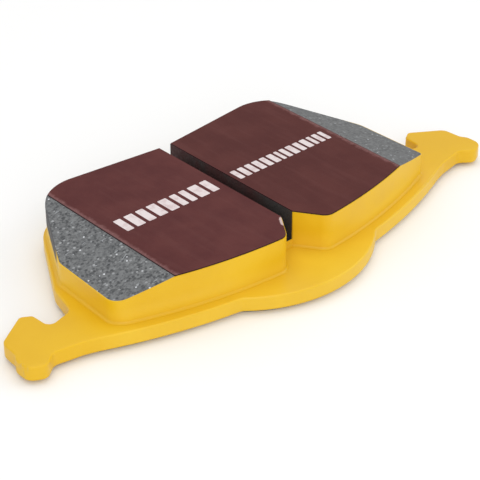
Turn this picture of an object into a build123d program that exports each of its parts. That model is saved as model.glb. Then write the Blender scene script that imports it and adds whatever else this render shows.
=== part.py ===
from build123d import *
import os
from math import radians, tan

# Disc brake pad, friction side up.
# Frame: +X runs along the pad, +Y towards the wheel's axis, +Z towards the disc.
# The origin lies on the shim's outer face, at the middle of the pad's length and depth.
# All sizes are in millimetres. Only the near outer corners of the blocks differ between the two sides of X = 0.

# ---- layers, from the piston side to the disc side ------------------------------------------
SHIM_GLUE = 0.12
SHIM_INNER_RUBBER = 0.12
SHIM_STEEL = 0.50
SHIM_OUTER_RUBBER = 0.16
PLATE_THICKNESS = 4.20
BOND_FILM = 0.10
UNDERLAYER = 1.70
FRICTION_DEPTH = 8.20
COATING = 0.25
PAINT_FILM = 0.20
PAINT_STOP = 0.05
PAINT_COVE = 0.75
PAINT_FOOT = 0.05

# ---- backing plate --------------------------------------------------------------------------
PLATE_FAR_MIDDLE = 31.2
PLATE_FAR_CORNER = (38.8, 35.5)
PLATE_FAR_CORNER_ROUND = 14.0
PLATE_SHOULDER = (55.1, 7.2)
PLATE_SHOULDER_ROUND = 8.0
PLATE_NECK_ROOT = (57.6, -2.4)
PLATE_NECK_ROOT_ROUND = 3.0
PLATE_NEAR_RADIUS = 150.0
PLATE_NEAR_MIDDLE = -28.4
LOBE_RADIUS = 35.2
LOBE_TIP = -35.5
LOBE_ROOT = (23.7, -26.5)
LOBE_ROOT_ROUND = 2.5
PLATE_TOP_ROUND = 0.45
PLATE_BACK_ROUND = 0.70

# ---- ears: neck, hooked head and the shallow notch in its end --------------------------------
NECK_FAR_INNER = (65.1, -4.4)
HEAD_HOOK_INNER = (65.5, 1.9)
HEAD_HOOK_TIP = (68.3, 3.6)
HEAD_OUTER = (77.4, -2.3)
HEAD_NOTCH = (77.8, -7.9)
HEAD_TIP = (79.0, -9.8)
HEAD_HEEL = (79.0, -14.4)
HEAD_HEEL_LOW = (74.7, -16.5)
HEAD_THROAT = (70.9, -13.5)
NECK_NEAR = (63.2, -14.9)
NECK_NEAR_ROOT = (50.0, -19.2)
NECK_MIDDLE = (62.0, -8.0)
EAR_INNER_END = 40.0
HOOK_ROUND = 1.3
HOOK_THROAT_ROUND = 1.8
HEAD_ROUND = 3.0
HEAD_NOTCH_ROUND = 2.5
HEEL_ROUND = 2.4
THROAT_ROUND = 2.8
NECK_NEAR_ROUND = 8.0

# ---- friction material ----------------------------------------------------------------------
BLOCK_FAR_MIDDLE = 30.0
BLOCK_FAR_CORNER = (38.2, 34.3)
BLOCK_FAR_CORNER_ROUND = 13.0
BLOCK_SHOULDER = (52.6, 7.9)
BLOCK_SHOULDER_ROUND = 5.0
BLOCK_END_LEAN = 0.04
BLOCK_NEAR_RADIUS = 143.5
BLOCK_NEAR_MIDDLE = -25.15
BLOCK_NEAR_CORNER = (53.5, -14.8)
LEFT_NEAR_CORNER_ROUND = 4.5
RIGHT_NEAR_CORNER_ROUND = 1.2
SLOT_WIDTH = 4.0
NOTCH_HALF_WIDTH = 7.4
NOTCH_DEPTH = 7.9
NOTCH_ROUND = 3.2
CHAMFER_START = 39.0
CHAMFER_ANGLE = 14.7

# ---- keying holes, shim nibs and shim --------------------------------------------------------
KEY_HOLE_RADIUS = 4.5
KEY_HOLES = ((15.0, 6.0), (38.0, 4.0))
NIB_RADIUS = 3.5
NIB_HEIGHT = 0.70
NIB_SHIM_GAP = 0.35
NIB_PLACE = (27.5, 17.0)
SHIM_MARGIN = 1.6
SHIM_CORNER_ROUND = 1.2

# ---- heights worked out from the layers ------------------------------------------------------
PLATE_BACK = SHIM_GLUE + SHIM_INNER_RUBBER + SHIM_STEEL + SHIM_OUTER_RUBBER
PLATE_TOP = PLATE_BACK + PLATE_THICKNESS
UNDERLAYER_BASE = PLATE_TOP + BOND_FILM
BLOCK_BASE = UNDERLAYER_BASE + UNDERLAYER
BLOCK_TOP = BLOCK_BASE + FRICTION_DEPTH
PAD_TOP = BLOCK_TOP + COATING
OVERRUN = 60.0


def both_sides(points):
    """Places on the right, and their mirror places on the left."""
    return [(side * x, y) for side in (-1, 1) for x, y in points]


def mirrored_face(far_middle, half):
    """Straight-edged face: the half outline, its mirror image, and a middle point on the far edge."""
    left = [(-x, y) for x, y in reversed(half)]
    return make_face(Polyline((0, far_middle), *half, *left, close=True))


def disc(radius, lowest):
    """Round face whose lowest point is on the Y axis."""
    return Pos(0, lowest + radius) * Circle(radius)


def round_corner(face, place, radius):
    """Rounds the one corner nearest a place."""
    corner = face.vertices().sort_by_distance(place)[0]
    return fillet(corner, radius)


def round_corners(face, corners):
    """Rounds the corner nearest each place, and its mirror corner, to the radius given with it."""
    for corner_place, radius in corners:
        for place in both_sides([corner_place]):
            face = round_corner(face, place, radius)
    return face


def slab(face, base, thickness):
    """Plan face raised to a plate between two heights."""
    return extrude(Pos(0, 0, base) * face, amount=thickness)


def ear_face():
    """Right ear: a neck that ends in a head with a hook on the far side and a heel on the near side."""
    return make_face(
        Polyline(
            (EAR_INNER_END, PLATE_NECK_ROOT[1]),
            PLATE_NECK_ROOT,
            NECK_FAR_INNER,
            HEAD_HOOK_INNER,
            HEAD_HOOK_TIP,
            HEAD_OUTER,
            HEAD_NOTCH,
            HEAD_TIP,
            HEAD_HEEL,
            HEAD_HEEL_LOW,
            HEAD_THROAT,
            NECK_NEAR,
            NECK_NEAR_ROOT,
            (EAR_INNER_END, NECK_NEAR_ROOT[1]),
            close=True,
        )
    )


def plate_body_face():
    """Plate outline without its ears: sloping ends, a curved near edge and the round lobe in its middle."""
    half = [
        PLATE_FAR_CORNER,
        PLATE_SHOULDER,
        PLATE_NECK_ROOT,
        (PLATE_NECK_ROOT[0], NECK_MIDDLE[1]),
        NECK_MIDDLE,
        (NECK_MIDDLE[0], -OVERRUN),
    ]
    segment = mirrored_face(PLATE_FAR_MIDDLE, half) & disc(PLATE_NEAR_RADIUS, PLATE_NEAR_MIDDLE)
    lobe = disc(LOBE_RADIUS, LOBE_TIP) & Pos(0, -OVERRUN / 2) * Rectangle(2 * OVERRUN, OVERRUN)
    return segment + lobe


def plate_face():
    ear = ear_face()
    face = plate_body_face() + ear + mirror(ear, about=Plane.YZ)
    return round_corners(
        face,
        [
            (PLATE_FAR_CORNER, PLATE_FAR_CORNER_ROUND),
            (PLATE_SHOULDER, PLATE_SHOULDER_ROUND),
            (PLATE_NECK_ROOT, PLATE_NECK_ROOT_ROUND),
            (NECK_FAR_INNER, HOOK_THROAT_ROUND),
            (HEAD_HOOK_INNER, HOOK_ROUND),
            (HEAD_HOOK_TIP, HOOK_ROUND),
            (HEAD_OUTER, HEAD_ROUND),
            (HEAD_NOTCH, HEAD_NOTCH_ROUND),
            (HEAD_TIP, HEAD_ROUND),
            (HEAD_HEEL, HEAD_ROUND),
            (HEAD_HEEL_LOW, HEEL_ROUND),
            (HEAD_THROAT, THROAT_ROUND),
            (NECK_NEAR, NECK_NEAR_ROUND),
            (LOBE_ROOT, LOBE_ROOT_ROUND),
        ],
    )


def friction_face():
    """Outline of the whole friction area, with the notch where the slot leaves the near edge.

    The left block's near corner is rounder than the right block's.
    """
    end = BLOCK_SHOULDER[0] + BLOCK_END_LEAN * (BLOCK_SHOULDER[1] + OVERRUN)
    half = [BLOCK_FAR_CORNER, BLOCK_SHOULDER, (end, -OVERRUN)]
    segment = mirrored_face(BLOCK_FAR_MIDDLE, half) & disc(BLOCK_NEAR_RADIUS, BLOCK_NEAR_MIDDLE)
    apex = (SLOT_WIDTH / 2, BLOCK_NEAR_MIDDLE + NOTCH_DEPTH)
    slope = (NOTCH_HALF_WIDTH - apex[0]) / NOTCH_DEPTH
    mouth = (apex[0] + slope * (apex[1] + OVERRUN), -OVERRUN)
    notched = segment - mirrored_face(apex[1], [apex, mouth])
    left_corner, right_corner = both_sides([BLOCK_NEAR_CORNER])
    notched = round_corner(notched, left_corner, LEFT_NEAR_CORNER_ROUND)
    notched = round_corner(notched, right_corner, RIGHT_NEAR_CORNER_ROUND)
    return round_corners(
        notched,
        [
            (BLOCK_FAR_CORNER, BLOCK_FAR_CORNER_ROUND),
            (BLOCK_SHOULDER, BLOCK_SHOULDER_ROUND),
            ((NOTCH_HALF_WIDTH, BLOCK_NEAR_MIDDLE), NOTCH_ROUND),
        ],
    )


def end_chamfers():
    """Two wedges that slope the ends of the friction blocks."""
    drop = tan(radians(CHAMFER_ANGLE)) * OVERRUN
    wedge = make_face(
        Polyline(
            (CHAMFER_START, BLOCK_TOP),
            (CHAMFER_START + OVERRUN, BLOCK_TOP - drop),
            (CHAMFER_START + OVERRUN, PAD_TOP + OVERRUN),
            (CHAMFER_START, PAD_TOP + OVERRUN),
            close=True,
        )
    )
    right = extrude(Plane.XZ * wedge, amount=OVERRUN, both=True)
    return right + mirror(right, about=Plane.YZ)


def slot_cut():
    """Saw cut between the blocks, down to the underlayer."""
    return slab(Rectangle(SLOT_WIDTH, 2 * OVERRUN), BLOCK_BASE, OVERRUN)


def key_holes_face():
    return Sketch() + [Pos(*place) * Circle(KEY_HOLE_RADIUS) for place in both_sides(KEY_HOLES)]


def nibs_face(radius):
    return Sketch() + [Pos(*place) * Circle(radius) for place in both_sides([NIB_PLACE])]


def make_plate():
    """Fine-blanked steel plate with rounded edges, keying holes, and nibs that locate the shim."""
    plate = slab(plate_face(), PLATE_BACK, PLATE_THICKNESS)
    plate = fillet(plate.edges().group_by(Axis.Z)[-1], PLATE_TOP_ROUND)
    plate = fillet(plate.edges().group_by(Axis.Z)[0], PLATE_BACK_ROUND)
    plate -= slab(key_holes_face(), PLATE_BACK, PLATE_THICKNESS)
    return plate + slab(nibs_face(NIB_RADIUS), PLATE_BACK - NIB_HEIGHT, NIB_HEIGHT)


def make_flank_paint(inner):
    """Paint around the outline up to just below the coating, with a small cove where it meets the plate."""
    outer = offset(inner, PAINT_FILM, kind=Kind.INTERSECTION)
    foot = offset(inner, PAINT_FILM + PAINT_COVE + PAINT_FOOT, kind=Kind.INTERSECTION)
    height = BLOCK_TOP - PAINT_STOP - PLATE_TOP
    shell = slab(outer, PLATE_TOP, height) + slab(foot, PLATE_TOP, PAINT_FOOT)
    foot_top = shell.faces().filter_by(Axis.Z).sort_by(Axis.Z)[1]
    coved = fillet(foot_top.inner_wires()[0].edges(), PAINT_COVE)
    return coved - slab(inner, PLATE_TOP, height)


def make_friction_layers():
    """Bond film, underlayer with its keys, both blocks, their coatings and the paint on their flanks."""
    inner = friction_face()
    keys = key_holes_face()
    chamfers = end_chamfers()
    slot = slot_cut()

    film = slab(inner - keys, PLATE_TOP, BOND_FILM)
    underlayer = slab(inner, UNDERLAYER_BASE, UNDERLAYER)
    underlayer += slab(keys, PLATE_BACK, PLATE_THICKNESS + BOND_FILM)
    blocks = slab(inner, BLOCK_BASE, FRICTION_DEPTH) - chamfers - slot
    paint = make_flank_paint(inner) - chamfers - slot
    flat = inner & Rectangle(2 * CHAMFER_START, 2 * OVERRUN)
    coatings = slab(flat, BLOCK_TOP, COATING) - slot

    block_left, block_right = blocks.solids().sort_by(Axis.X)
    coating_left, coating_right = coatings.solids().sort_by(Axis.X)
    return {
        "bond_film": film,
        "underlayer": underlayer,
        "friction_block_left": block_left,
        "friction_block_right": block_right,
        "brake_in_coating_left": coating_left,
        "brake_in_coating_right": coating_right,
        "flank_paint": paint,
    }


def make_shim():
    """Noise shim of glue, rubber, steel and rubber, cut to one outline with holes for the nibs."""
    outline = round_corners(
        offset(plate_body_face(), -SHIM_MARGIN),
        [
            (PLATE_FAR_CORNER, PLATE_FAR_CORNER_ROUND - SHIM_MARGIN),
            (PLATE_SHOULDER, PLATE_SHOULDER_ROUND - SHIM_MARGIN),
            (PLATE_NECK_ROOT, SHIM_CORNER_ROUND),
            (NECK_MIDDLE, SHIM_CORNER_ROUND),
        ],
    )
    face = outline - nibs_face(NIB_RADIUS + NIB_SHIM_GAP)
    layers = {
        "shim_outer_rubber": SHIM_OUTER_RUBBER,
        "shim_steel_core": SHIM_STEEL,
        "shim_inner_rubber": SHIM_INNER_RUBBER,
        "shim_glue": SHIM_GLUE,
    }
    made = {}
    base = 0.0
    for name, thickness in layers.items():
        made[name] = slab(face, base, thickness)
        base += thickness
    return made


os.makedirs("parts", exist_ok=True)
pieces = {"backing_plate": make_plate(), **make_friction_layers(), **make_shim()}
for name, piece in pieces.items():
    piece.label = name
    export_step(piece, f"parts/{name}.step")
    box = piece.bounding_box()
    corners = [*box.min, *box.max]
    print(f"{name:24s}", *(f"{value:8.2f}" for value in corners))
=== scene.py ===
"""Looks for a disc brake pad that lies on its noise shim with the friction side up.

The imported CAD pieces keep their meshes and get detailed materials. Two small mesh pieces add the plain
printed bars on the coating.
"""

import math
import random

import bmesh
import bpy
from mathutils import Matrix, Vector


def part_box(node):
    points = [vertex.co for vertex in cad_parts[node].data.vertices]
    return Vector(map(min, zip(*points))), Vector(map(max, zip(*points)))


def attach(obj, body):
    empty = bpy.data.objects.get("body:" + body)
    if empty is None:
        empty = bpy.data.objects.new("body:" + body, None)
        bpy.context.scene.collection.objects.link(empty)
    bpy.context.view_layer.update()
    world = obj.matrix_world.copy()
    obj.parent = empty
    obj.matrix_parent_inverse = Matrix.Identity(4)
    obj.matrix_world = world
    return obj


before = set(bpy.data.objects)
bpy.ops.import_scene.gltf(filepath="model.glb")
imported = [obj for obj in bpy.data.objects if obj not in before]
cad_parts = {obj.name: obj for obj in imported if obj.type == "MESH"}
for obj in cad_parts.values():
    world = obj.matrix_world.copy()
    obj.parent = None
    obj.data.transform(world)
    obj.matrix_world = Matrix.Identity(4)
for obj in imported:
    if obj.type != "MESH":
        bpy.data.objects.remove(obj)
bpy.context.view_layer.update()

MM = 0.001
BODY = "root"

# ---- places read from the frame --------------------------------------------------------------
coating_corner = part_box("brake_in_coating_right")[1]
COATING_TOP = coating_corner.z
CHAMFER_START = coating_corner.x
SLOT_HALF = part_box("friction_block_right")[0].x
FLANK_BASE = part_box("flank_paint")[0].z
EAR_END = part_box("backing_plate")[1].x

# ---- painted highlight on the coating, beside the slot's near end ----------------------------
HIGHLIGHT_MIDDLE = Vector((-3.0, -19.3, 0.0)) * MM
HIGHLIGHT_ALONG = Vector((-0.564, -0.825, 0.0))
HIGHLIGHT_ACROSS = Vector((0.825, -0.564, 0.0))
HIGHLIGHT_SQUASH = 0.42

# ---- printed bars ----------------------------------------------------------------------------
INK_SINK = 0.01 * MM
INK_RISE = 0.01 * MM
BAR_CORNER = 0.30 * MM
BAR_SOFTENING = 0.35
BAR_CORNER_STEPS = 4
NARROWEST_BAR = 0.75
WIDEST_BAR = 1.3

# ---- camera, floor and surroundings ----------------------------------------------------------
VIEW_AZIMUTH = math.radians(-42.32)
VIEW_ELEVATION = math.radians(32.39)
VIEW_DISTANCE = 0.4081
VIEW_TARGET = Vector((-9.24, -10.02, 8.0)) * MM
VIEW_LENS = 120.69
FLOOR_HALF = 1.6
FLOOR_SEGMENTS = 24
SURROUNDINGS_STRENGTH = 0.74

# ---- paint colours ---------------------------------------------------------------------------
YELLOW_DEEP = (0.735, 0.430, 0.004)
YELLOW_LIGHT = (0.785, 0.482, 0.010)
YELLOW_PALE_GRAIN = (0.86, 0.58, 0.06)
YELLOW_DARK_GRAIN = (0.66, 0.34, 0.0)
YELLOW_PAINTED_LIGHT_FRONT = (0.84, 0.57, 0.055)
YELLOW_PAINTED_SHADE_EARS = (0.70, 0.39, 0.0)
YELLOW_RUBBED = (0.58, 0.40, 0.14)
YELLOW_PAINTED_LIGHT_FOOT = (0.85, 0.57, 0.055)
YELLOW_PAINTED_SHADE_COVE = (0.69, 0.385, 0.0)
BARE_DARK = (0.05, 0.05, 0.052)
BARE_LIGHT = (0.13, 0.13, 0.135)
PAINT_SPECULAR = 0.38

# ---- friction compound colours ---------------------------------------------------------------
BINDER_DARK = (0.058, 0.061, 0.064)
BINDER_LIGHT = (0.180, 0.184, 0.187)
BINDER_PATCH = (0.235, 0.242, 0.245)
BINDER_PORE = (0.045, 0.047, 0.050)
BINDER_CLOUD = (0.095, 0.10, 0.105)
BINDER_EVEN = (0.138, 0.140, 0.140)
GRAIN_LIGHT = (0.40, 0.41, 0.42)
GRAIN_BLACK = (0.040, 0.042, 0.046)
FIBRE_LIGHT = (0.42, 0.44, 0.46)
PAINTED_GLINT_WHITE = (0.72, 0.74, 0.78)
RIM_DARK = (0.020, 0.008, 0.010)
RIM_LIGHT = (0.046, 0.022, 0.026)
SLOT_SHADE_DARK = (0.022, 0.020, 0.019)
SLOT_SHADE_LIGHT = (0.075, 0.068, 0.064)
SLOT_OVERSPRAY = (0.070, 0.022, 0.022)
UNDERLAYER_TINT = (0.014, 0.011, 0.010)

# ---- break-in coating and ink colours --------------------------------------------------------
COATING_DARK = (0.088, 0.022, 0.022)
COATING_LIGHT = (0.112, 0.031, 0.029)
COATING_RIGHT = (0.068, 0.020, 0.014)
COATING_PALE_GRIT = (0.17, 0.070, 0.064)
COATING_DARK_GRIT = (0.045, 0.010, 0.010)
COATING_ROLLED = (0.135, 0.048, 0.044)
COATING_EDGE_HIGHLIGHT = (0.27, 0.135, 0.130)
COATING_EDGE = (0.050, 0.024, 0.024)
COATING_CORNER_HIGHLIGHT = (0.62, 0.48, 0.45)
COATING_WALL = (0.022, 0.007, 0.010)
INK_FULL = (0.74, 0.66, 0.66)
INK_THIN = (0.52, 0.36, 0.36)
INK_GRIT = (0.26, 0.12, 0.12)

# ---- shim, glue and floor colours ------------------------------------------------------------
RUBBER_DARK = (0.018, 0.018, 0.019)
RUBBER_LIGHT = (0.050, 0.050, 0.052)
RUBBER_DUST = (0.12, 0.12, 0.12)
STEEL_DARK = (0.42, 0.42, 0.43)
STEEL_LIGHT = (0.60, 0.60, 0.60)
FILM_DARK = (0.05, 0.035, 0.025)
FILM_LIGHT = (0.11, 0.08, 0.055)
GLUE_DARK = (0.20, 0.19, 0.16)
GLUE_LIGHT = (0.34, 0.32, 0.27)
FLOOR_DARK = (0.92, 0.92, 0.915)
FLOOR_LIGHT = (0.94, 0.94, 0.935)


# ---- material tools --------------------------------------------------------------------------
class Material:
    """A node material with short calls for the nodes that the finishes share."""

    def __init__(self, name):
        self.material = bpy.data.materials.new(name)
        self.material.use_nodes = True
        self.tree = self.material.node_tree
        self.tree.nodes.clear()
        self.output = self.tree.nodes.new("ShaderNodeOutputMaterial")
        self.shader = self.tree.nodes.new("ShaderNodeBsdfPrincipled")
        self.join(self.shader.outputs["BSDF"], self.output.inputs["Surface"])
        self.place = self.tree.nodes.new("ShaderNodeTexCoord").outputs["Object"]

    def join(self, out, into):
        self.tree.links.new(out, into)

    def feed(self, socket, value):
        """Links a node's output to a socket, or sets the socket to a plain value."""
        if isinstance(value, bpy.types.NodeSocket):
            self.join(value, socket)
        else:
            socket.default_value = value

    def set(self, **values):
        """Feeds the shader's sockets, named with underscores for spaces."""
        for key, value in values.items():
            self.feed(self.shader.inputs[key.replace("_", " ")], value)

    def noise(self, size, detail, roughness=0.5, distortion=0.0, place=None):
        """Noise from 0 to 1 whose blobs are about size metres across."""
        node = self.tree.nodes.new("ShaderNodeTexNoise")
        self.join(place or self.place, node.inputs["Vector"])
        node.inputs["Scale"].default_value = 1.0 / size
        node.inputs["Detail"].default_value = detail
        node.inputs["Roughness"].default_value = roughness
        node.inputs["Distortion"].default_value = distortion
        return node.outputs["Fac"]

    def cells(self, size, output="Distance"):
        """Voronoi cells about size metres across: the distance to a cell's middle, or its own colour."""
        node = self.tree.nodes.new("ShaderNodeTexVoronoi")
        self.join(self.place, node.inputs["Vector"])
        node.inputs["Scale"].default_value = 1.0 / size
        return node.outputs[output]

    def stretched(self, scale):
        """The place, scaled by its own factor on each axis."""
        node = self.tree.nodes.new("ShaderNodeMapping")
        self.join(self.place, node.inputs["Vector"])
        node.inputs["Scale"].default_value = scale
        return node.outputs["Vector"]

    def axis(self, name, vector=None):
        """One part, X, Y or Z, of the place or of another vector."""
        node = self.tree.nodes.new("ShaderNodeSeparateXYZ")
        self.join(vector or self.place, node.inputs[0])
        return node.outputs[name]

    def distance_along(self, start, direction):
        """How far a point lies from start, measured along direction."""
        node = self.tree.nodes.new("ShaderNodeVectorMath")
        node.operation = "DOT_PRODUCT"
        self.join(self.place, node.inputs[0])
        node.inputs[1].default_value = direction
        return self.math("ABSOLUTE", self.math("SUBTRACT", node.outputs["Value"], start.dot(direction)))

    def across(self):
        """Distance from the pad's middle plane."""
        return self.math("ABSOLUTE", self.axis("X"))

    def side_walls(self, most):
        """Up to most on upright faces, and 0 on level ones."""
        normal = self.tree.nodes.new("ShaderNodeNewGeometry").outputs["Normal"]
        return self.remap(self.math("ABSOLUTE", self.axis("Z", normal)), 0.55, 0.35, 0.0, most)

    def shift(self, noise, width):
        """Turns noise into a shift to either side, width apart at most."""
        return self.math("MULTIPLY", self.math("SUBTRACT", noise, 0.5), width)

    def math(self, operation, *values):
        node = self.tree.nodes.new("ShaderNodeMath")
        node.operation = operation
        for socket, value in zip(node.inputs, values):
            self.feed(socket, value)
        return node.outputs[0]

    def remap(self, value, low, high, to_low=0.0, to_high=1.0):
        """Smooth step from to_low to to_high while value goes from low to high."""
        node = self.tree.nodes.new("ShaderNodeMapRange")
        node.interpolation_type = "SMOOTHSTEP"
        settings = {
            "Value": value,
            "From Min": low,
            "From Max": high,
            "To Min": to_low,
            "To Max": to_high,
        }
        for key, setting in settings.items():
            self.feed(node.inputs[key], setting)
        return node.outputs["Result"]

    def mix(self, factor, first, second):
        """Blends two colours, each a node's output or three plain values."""
        node = self.tree.nodes.new("ShaderNodeMix")
        node.data_type = "RGBA"
        self.feed(node.inputs[0], factor)
        for socket, value in ((node.inputs[6], first), (node.inputs[7], second)):
            self.feed(socket, value if isinstance(value, bpy.types.NodeSocket) else (*value, 1.0))
        return node.outputs[2]

    def bump(self, height, distance, strength, below=None):
        """Normal of a relief, laid over another relief's normal where one is given."""
        node = self.tree.nodes.new("ShaderNodeBump")
        node.inputs["Strength"].default_value = strength
        node.inputs["Distance"].default_value = distance
        self.join(height, node.inputs["Height"])
        if below is not None:
            self.join(below, node.inputs["Normal"])
        return node.outputs["Normal"]


def yellow_paint(m):
    """Colour, roughness and relief of satin yellow paint: cloudy, with orange peel and a few paler grains."""
    cloud = m.noise(14 * MM, 3.0)
    grain = m.noise(0.45 * MM, 2.0)
    peel = m.noise(1.4 * MM, 2.0, 0.4)
    wave = m.noise(7 * MM, 1.0)
    colour = m.mix(m.remap(cloud, 0.3, 0.7), YELLOW_DEEP, YELLOW_LIGHT)
    colour = m.mix(m.remap(grain, 0.64, 0.80, 0.0, 0.25), colour, YELLOW_PALE_GRAIN)
    colour = m.mix(m.remap(grain, 0.36, 0.24, 0.0, 0.25), colour, YELLOW_DARK_GRAIN)
    roughness = m.remap(cloud, 0.3, 0.7, 0.34, 0.46)
    relief = m.math("ADD", m.math("MULTIPLY", peel, 0.5), wave)
    return colour, roughness, relief


def powder_coat():
    """Paint of the backing plate: painted light at the front, painted shade on the ears, and scuffs on the
    ears' sliding ends.
    """
    m = Material("powder_coat_yellow")
    colour, roughness, relief = yellow_paint(m)
    scuff = m.noise(0.9 * MM, 3.0, 0.65, 0.4, m.stretched((1.0, 1.0, 0.25)))
    contact = m.remap(m.across(), EAR_END - 0.9 * MM, EAR_END - 0.1 * MM)
    rubbed = m.math("MULTIPLY", contact, m.remap(scuff, 0.50, 0.66, 0.0, 0.55))
    # Painted light: the plate is painted paler towards the front, beside the block's near wall.
    front = m.remap(m.axis("Y"), -12 * MM, -19 * MM, 0.0, 0.32)
    colour = m.mix(front, colour, YELLOW_PAINTED_LIGHT_FRONT)
    # Painted shade: the ears are painted a deeper orange.
    ears = m.remap(m.across(), 50 * MM, 62 * MM, 0.0, 0.35)
    colour = m.mix(ears, colour, YELLOW_PAINTED_SHADE_EARS)
    colour = m.mix(rubbed, colour, YELLOW_RUBBED)
    m.set(Base_Color=colour, Roughness=m.math("ADD", roughness, m.math("MULTIPLY", rubbed, 0.25)))
    m.set(Normal=m.bump(relief, 0.05 * MM, 0.5), Specular_IOR_Level=PAINT_SPECULAR)
    return m.material


def flank_coat():
    """The same paint on the flanks: painted light low down, painted shade in the cove, and bare high on the
    far sides.
    """
    m = Material("flank_coat_yellow")
    colour, roughness, relief = yellow_paint(m)
    speck = m.noise(0.5 * MM, 3.0, 0.65)
    ragged = m.shift(m.noise(1.8 * MM, 4.0, 0.7), 2.2 * MM)
    height = m.math("ADD", m.axis("Z"), ragged)
    depth = m.math("ADD", m.axis("Y"), ragged)
    bare = m.math("MULTIPLY", m.remap(height, 8.2 * MM, 9.6 * MM), m.remap(depth, 9.0 * MM, 13.0 * MM))
    # Painted light: the flank is painted paler low down.
    painted_light_foot = m.remap(m.axis("Z"), FLANK_BASE + 5.5 * MM, FLANK_BASE + 1.5 * MM, 0.0, 0.40)
    colour = m.mix(painted_light_foot, colour, YELLOW_PAINTED_LIGHT_FOOT)
    # Painted shade: the lowest millimetre of the flank, in the cove, is painted a deeper orange.
    painted_shade_cove = m.remap(m.axis("Z"), FLANK_BASE + 1.1 * MM, FLANK_BASE + 0.3 * MM, 0.0, 0.50)
    colour = m.mix(painted_shade_cove, colour, YELLOW_PAINTED_SHADE_COVE)
    colour = m.mix(bare, colour, m.mix(speck, BARE_DARK, BARE_LIGHT))
    m.set(Base_Color=colour, Roughness=m.math("ADD", roughness, m.math("MULTIPLY", bare, 0.3)))
    m.set(Normal=m.bump(relief, 0.05 * MM, 0.5, m.bump(speck, 0.06 * MM, 0.5)))
    m.set(Specular_IOR_Level=PAINT_SPECULAR)
    return m.material


def friction_compound(name, dark=0.0):
    """Pressed friction compound: light and dark grains and fibres in a grey binder, with painted shade in the
    saw cut.
    """
    m = Material(name)
    cloud = m.noise(6 * MM, 4.0, 0.6)
    fine = m.noise(0.28 * MM, 3.0, 0.7)
    middle = m.noise(0.75 * MM, 3.0, 0.65)
    patch = m.noise(1.3 * MM, 2.0, 0.6, 0.4)
    fibres = m.noise(1.0 * MM, 2.0, 0.5, 0.8, m.stretched((0.30, 1.0, 1.0)))
    base = m.mix(m.remap(middle, 0.36, 0.64), BINDER_DARK, BINDER_LIGHT)
    base = m.mix(m.remap(patch, 0.40, 0.66, 0.0, 0.55), base, BINDER_PATCH)
    base = m.mix(m.remap(fine, 0.56, 0.72, 0.0, 0.5), base, BINDER_PORE)

    # Each cell's own colour picks the cells that are light or black grains, and the few that get painted
    # glints.
    grains = m.cells(0.9 * MM, "Color")
    from_middle = m.cells(0.9 * MM)
    pick = m.axis("X", grains)
    shade = m.axis("Y", grains)
    light = m.math("MULTIPLY", m.remap(pick, 0.55, 0.62), m.remap(from_middle, 0.50, 0.30))
    base = m.mix(m.math("MULTIPLY", light, m.remap(shade, 0.5, 0.9, 0.0, 0.8)), base, GRAIN_LIGHT)
    black = m.math("MULTIPLY", m.remap(pick, 0.32, 0.25), m.remap(from_middle, 0.55, 0.30))
    base = m.mix(m.math("MULTIPLY", black, 0.75), base, GRAIN_BLACK)
    base = m.mix(m.remap(fibres, 0.66, 0.72, 0.0, 0.6), base, FIBRE_LIGHT)
    # Painted glints: a few small cells get a near-white colour.
    painted_glint = m.math("MULTIPLY", m.remap(pick, 0.955, 0.965), m.remap(from_middle, 0.34, 0.22))
    base = m.mix(painted_glint, base, PAINTED_GLINT_WHITE)
    base = m.mix(m.remap(cloud, 0.40, 0.75, 0.0, 0.3), base, BINDER_CLOUD)
    base = m.mix(m.remap(m.axis("X"), 0.0, 30 * MM, 0.0, 0.45), base, BINDER_EVEN)

    # The sides are dark, and the slot's walls are painted dark as shade, with some overspray from the
    # coating.
    base = m.mix(m.side_walls(0.95), base, m.mix(middle, RIM_DARK, RIM_LIGHT))
    in_slot = m.remap(m.across(), SLOT_HALF + 0.08 * MM, SLOT_HALF + 0.02 * MM)
    painted_slot_shade = m.mix(fine, SLOT_SHADE_DARK, SLOT_SHADE_LIGHT)
    spray_reach = m.remap(m.axis("Y"), -12 * MM, 0.0)
    sprayed = m.math("MULTIPLY", spray_reach, m.remap(cloud, 0.30, 0.60, 0.25, 0.85))
    base = m.mix(in_slot, base, m.mix(sprayed, painted_slot_shade, SLOT_OVERSPRAY))
    if dark:
        base = m.mix(dark, base, UNDERLAYER_TINT)

    texture = m.math("ADD", middle, m.math("MULTIPLY", fine, 0.5))
    relief = m.math("ADD", texture, m.math("SUBTRACT", light, black))
    grinding = m.noise(0.45 * MM, 2.0, place=m.stretched((1.0, 0.05, 1.0)))
    m.set(Base_Color=base, Roughness=m.remap(middle, 0.3, 0.7, 0.55, 0.75))
    m.set(Normal=m.bump(relief, 0.10 * MM, 0.6, m.bump(grinding, 0.03 * MM, 0.5)))
    m.set(Specular_IOR_Level=0.35)
    return m.material


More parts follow.
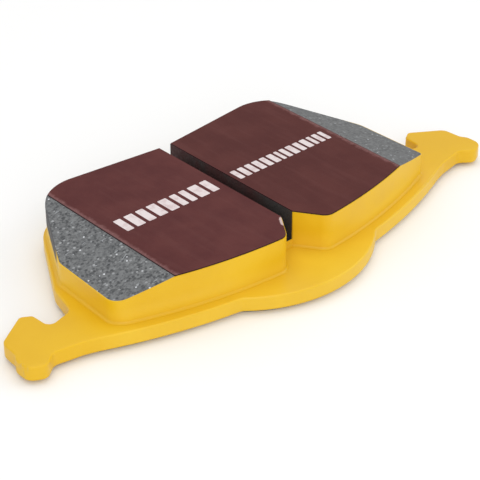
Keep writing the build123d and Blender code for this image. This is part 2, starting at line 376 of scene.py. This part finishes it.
def brake_in_coating():
    """Thin abrasive break-in layer: matt brown-red and gritty, with painted highlights along its edges and at
    one spot beside the slot.
    """
    m = Material("brake_in_coating_brown")
    cloud = m.noise(10 * MM, 4.0, 0.55)
    grit = m.noise(0.32 * MM, 3.0, 0.7)
    roller = m.noise(2.2 * MM, 2.0, place=m.stretched((1.0, 0.12, 1.0)))
    patch = m.noise(1.8 * MM, 3.0, 0.6)
    right_side = m.remap(m.axis("X"), -3 * MM, 3 * MM)
    colour = m.mix(m.remap(cloud, 0.3, 0.7), COATING_DARK, COATING_LIGHT)
    colour = m.mix(m.math("MULTIPLY", right_side, 0.30), colour, COATING_RIGHT)
    colour = m.mix(m.remap(grit, 0.58, 0.78, 0.0, 0.45), colour, COATING_PALE_GRIT)
    colour = m.mix(m.remap(grit, 0.42, 0.25, 0.0, 0.45), colour, COATING_DARK_GRIT)
    colour = m.mix(m.remap(roller, 0.45, 0.75, 0.0, 0.20), colour, COATING_ROLLED)

    # A painted highlight runs pale along the edges beside the sloping ends, with a thin dark line at the very
    # end.
    reach = m.math("ADD", m.across(), m.shift(patch, 2.4 * MM))
    near_edge = m.remap(reach, CHAMFER_START - 1.5 * MM, CHAMFER_START - 0.3 * MM)
    painted_edge_highlight = m.math("MULTIPLY", near_edge, m.remap(grit, 0.35, 0.6, 0.25, 0.7))
    colour = m.mix(painted_edge_highlight, colour, COATING_EDGE_HIGHLIGHT)
    edge = m.remap(m.across(), CHAMFER_START - 0.35 * MM, CHAMFER_START - 0.05 * MM, 0.0, 0.75)
    colour = m.mix(edge, colour, COATING_EDGE)

    # Painted highlight: a pale patch on the coating beside the slot's near end.
    along = m.math("MULTIPLY", m.distance_along(HIGHLIGHT_MIDDLE, HIGHLIGHT_ALONG), HIGHLIGHT_SQUASH)
    across_highlight = m.distance_along(HIGHLIGHT_MIDDLE, HIGHLIGHT_ACROSS)
    square = m.math("ADD", m.math("POWER", along, 2.0), m.math("POWER", across_highlight, 2.0))
    from_highlight = m.math("ADD", m.math("SQRT", square), m.shift(patch, 1.0 * MM))
    colour = m.mix(m.remap(from_highlight, 1.10 * MM, 0.75 * MM, 0.0, 0.9), colour, COATING_CORNER_HIGHLIGHT)
    colour = m.mix(m.side_walls(0.9), colour, COATING_WALL)

    relief = m.math("ADD", grit, m.math("MULTIPLY", roller, 0.6))
    m.set(Base_Color=colour, Roughness=m.remap(grit, 0.3, 0.7, 0.66, 0.82))
    m.set(Normal=m.bump(relief, 0.05 * MM, 0.6), Specular_IOR_Level=0.16)
    return m.material


def printing_ink():
    """White screen-printing ink, thin in places and slightly pinkish over the coating."""
    m = Material("printing_ink_white")
    grit = m.noise(0.32 * MM, 3.0, 0.7)
    thin = m.noise(2.0 * MM, 3.0, 0.6)
    colour = m.mix(m.remap(thin, 0.42, 0.70, 0.0, 0.5), INK_FULL, INK_THIN)
    colour = m.mix(m.remap(grit, 0.60, 0.74, 0.0, 0.6), colour, INK_GRIT)
    m.set(Base_Color=colour, Roughness=m.remap(grit, 0.3, 0.7, 0.48, 0.62))
    m.set(Normal=m.bump(grit, 0.03 * MM, 0.5))
    return m.material


def shim_rubber():
    """Black rubber facing of the noise shim, with a fine calender texture and faint rub marks."""
    m = Material("shim_rubber_black")
    calender = m.noise(0.5 * MM, 2.0, place=m.stretched((1.0, 0.35, 1.0)))
    scuff = m.noise(7 * MM, 4.0, 0.65, 0.6)
    dust = m.noise(1.2 * MM, 3.0, 0.7)
    colour = m.mix(m.remap(scuff, 0.35, 0.65), RUBBER_DARK, RUBBER_LIGHT)
    colour = m.mix(m.remap(dust, 0.60, 0.78, 0.0, 0.35), colour, RUBBER_DUST)
    m.set(Base_Color=colour, Roughness=m.remap(scuff, 0.35, 0.65, 0.55, 0.80))
    m.set(Normal=m.bump(calender, 0.03 * MM, 0.6))
    return m.material


def shim_steel():
    """Cold-rolled steel core of the shim, brushed along the pad."""
    m = Material("shim_steel")
    brushed = m.noise(0.6 * MM, 3.0, place=m.stretched((0.04, 1.0, 1.0)))
    stain = m.noise(10 * MM, 3.0)
    colour = m.mix(m.remap(stain, 0.3, 0.7), STEEL_DARK, STEEL_LIGHT)
    m.set(Base_Color=colour, Roughness=m.remap(brushed, 0.3, 0.7, 0.28, 0.46))
    m.set(Normal=m.bump(brushed, 0.01 * MM, 0.5), Metallic=0.95)
    return m.material


def adhesive(name, dark, light):
    """Thin line of set glue, mottled and slightly glossy."""
    m = Material(name)
    mottle = m.noise(1.1 * MM, 3.0, 0.6)
    m.set(Base_Color=m.mix(mottle, dark, light), Roughness=m.remap(mottle, 0.3, 0.7, 0.35, 0.60))
    m.set(Normal=m.bump(mottle, 0.03 * MM, 0.6))
    return m.material


def studio_floor():
    """Plain pale paper with a hardly visible cloudiness."""
    m = Material("studio_floor")
    cloud = m.noise(250 * MM, 2.0)
    m.set(Base_Color=m.mix(cloud, FLOOR_DARK, FLOOR_LIGHT), Roughness=0.75, Specular_IOR_Level=0.2)
    return m.material


def finish(node, material):
    """Gives a CAD node its material and leaves its mesh as it is."""
    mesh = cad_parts[node].data
    mesh.materials.clear()
    mesh.materials.append(material)


# ---- small pieces made here ------------------------------------------------------------------
def new_piece(name, bm, material):
    """Turns a bmesh into a piece that rides on the pad."""
    mesh = bpy.data.meshes.new(name)
    bm.to_mesh(mesh)
    bm.free()
    mesh.materials.append(material)
    piece = bpy.data.objects.new(name, mesh)
    bpy.context.scene.collection.objects.link(piece)
    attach(piece, BODY)
    return piece


def rounded_bar(bm, low, high, base, top, corner):
    """Adds a closed bar with rounded corners and softened top edges."""
    soft = BAR_SOFTENING * (top - base)
    rings = []
    for inset, height in ((0.0, base), (0.0, top - soft), (soft, top)):
        ring = []
        for cx, cy, start in (
            (high.x - corner, high.y - corner, 0.0),
            (low.x + corner, high.y - corner, 90.0),
            (low.x + corner, low.y + corner, 180.0),
            (high.x - corner, low.y + corner, 270.0),
        ):
            for step in range(BAR_CORNER_STEPS + 1):
                angle = math.radians(start + 90.0 * step / BAR_CORNER_STEPS)
                y = cy + (corner - inset) * math.sin(angle)
                x = cx + (corner - inset) * math.cos(angle)
                ring.append(bm.verts.new((x, y, height)))
        rings.append(ring)
    for lower, upper in zip(rings, rings[1:]):
        for i in range(len(lower)):
            j = (i + 1) % len(lower)
            bm.faces.new((lower[i], lower[j], upper[j], upper[i]))
    bm.faces.new(rings[-1])
    bm.faces.new(list(reversed(rings[0])))


def print_bars(name, left, right, low_y, high_y, count, gap, material, seed):
    """A row of plain upright bars of slightly different widths, in place of printed words."""
    draw = random.Random(seed)
    widths = [draw.uniform(NARROWEST_BAR, WIDEST_BAR) for _ in range(count)]
    room = right - left - gap * (count - 1)
    unit = room / sum(widths)
    bm = bmesh.new()
    x = left
    for width in widths:
        low = Vector((x, low_y))
        high = Vector((x + width * unit, high_y))
        rounded_bar(bm, low, high, COATING_TOP - INK_SINK, COATING_TOP + INK_RISE, BAR_CORNER)
        x = high.x + gap
    return new_piece(name, bm, material)


# ---- camera, light and floor -----------------------------------------------------------------
def add_camera():
    """Three-quarter view from the left front, from above, with a long lens."""
    back = Vector(
        (
            math.sin(VIEW_AZIMUTH) * math.cos(VIEW_ELEVATION),
            -math.cos(VIEW_AZIMUTH) * math.cos(VIEW_ELEVATION),
            math.sin(VIEW_ELEVATION),
        )
    )
    data = bpy.data.cameras.new("camera")
    data.lens = VIEW_LENS
    data.sensor_width = 36.0
    data.clip_start = 0.01
    data.clip_end = 20.0
    camera = bpy.data.objects.new("camera", data)
    camera.location = VIEW_TARGET + back * VIEW_DISTANCE
    camera.rotation_euler = back.to_track_quat("Z", "Y").to_euler()
    bpy.context.scene.collection.objects.link(camera)
    bpy.context.scene.camera = camera


def add_area(name, place, size, power):
    """White soft light that points at the origin."""
    data = bpy.data.lights.new(name, "AREA")
    data.shape = "RECTANGLE"
    data.size, data.size_y = size
    data.energy = power
    light = bpy.data.objects.new(name, data)
    light.location = place
    light.rotation_euler = Vector(place).to_track_quat("Z", "Y").to_euler()
    bpy.context.scene.collection.objects.link(light)


def add_floor():
    """Flat square of paper under the pad."""
    bm = bmesh.new()
    side = [-FLOOR_HALF + 2 * FLOOR_HALF * i / FLOOR_SEGMENTS for i in range(FLOOR_SEGMENTS + 1)]
    rows = [[bm.verts.new((x, y, 0.0)) for x in side] for y in side]
    for near, far in zip(rows, rows[1:]):
        for j in range(FLOOR_SEGMENTS):
            bm.faces.new((near[j], near[j + 1], far[j + 1], far[j]))
    mesh = bpy.data.meshes.new("floor")
    bm.to_mesh(mesh)
    bm.free()
    mesh.materials.append(studio_floor())
    floor = bpy.data.objects.new("floor", mesh)
    bpy.context.scene.collection.objects.link(floor)


def add_studio():
    """Pale floor, even white surroundings and large soft lights."""
    scene = bpy.context.scene
    scene.view_settings.view_transform = "Standard"
    scene.view_settings.look = "None"
    world = bpy.data.worlds.new("studio")
    world.use_nodes = True
    background = world.node_tree.nodes["Background"]
    background.inputs["Color"].default_value = (1.0, 1.0, 1.0, 1.0)
    background.inputs["Strength"].default_value = SURROUNDINGS_STRENGTH
    scene.world = world
    add_floor()
    add_area("key", place=(-0.60, -0.80, 0.62), size=(0.9, 0.8), power=4.4)
    add_area("side", place=(0.95, -0.55, 0.55), size=(0.8, 0.6), power=1.8)
    add_area("overhead", place=(0.10, 0.20, 1.00), size=(0.9, 0.7), power=2.3)


# ---- build -----------------------------------------------------------------------------------
add_camera()
add_studio()

paint = powder_coat()
compound = friction_compound("friction_compound_grey")
base_compound = friction_compound("underlayer_compound_dark", dark=0.75)
coating = brake_in_coating()
rubber = shim_rubber()
finishes = {
    "backing_plate": paint,
    "flank_paint": flank_coat(),
    "friction_block_left": compound,
    "friction_block_right": compound,
    "underlayer": base_compound,
    "brake_in_coating_left": coating,
    "brake_in_coating_right": coating,
    "bond_film": adhesive("bond_film_brown", FILM_DARK, FILM_LIGHT),
    "shim_glue": adhesive("shim_glue_grey", GLUE_DARK, GLUE_LIGHT),
    "shim_inner_rubber": rubber,
    "shim_outer_rubber": rubber,
    "shim_steel_core": shim_steel(),
}
for node, material in finishes.items():
    finish(node, material)

ink = printing_ink()
print_bars(
    "print_bars_left",
    left=-34.8 * MM,
    right=-4.2 * MM,
    low_y=3.1 * MM,
    high_y=9.1 * MM,
    count=9,
    gap=1.1 * MM,
    material=ink,
    seed=3,
)
print_bars(
    "print_bars_right",
    left=3.2 * MM,
    right=36.6 * MM,
    low_y=3.2 * MM,
    high_y=7.8 * MM,
    count=14,
    gap=0.8 * MM,
    material=ink,
    seed=5,
)
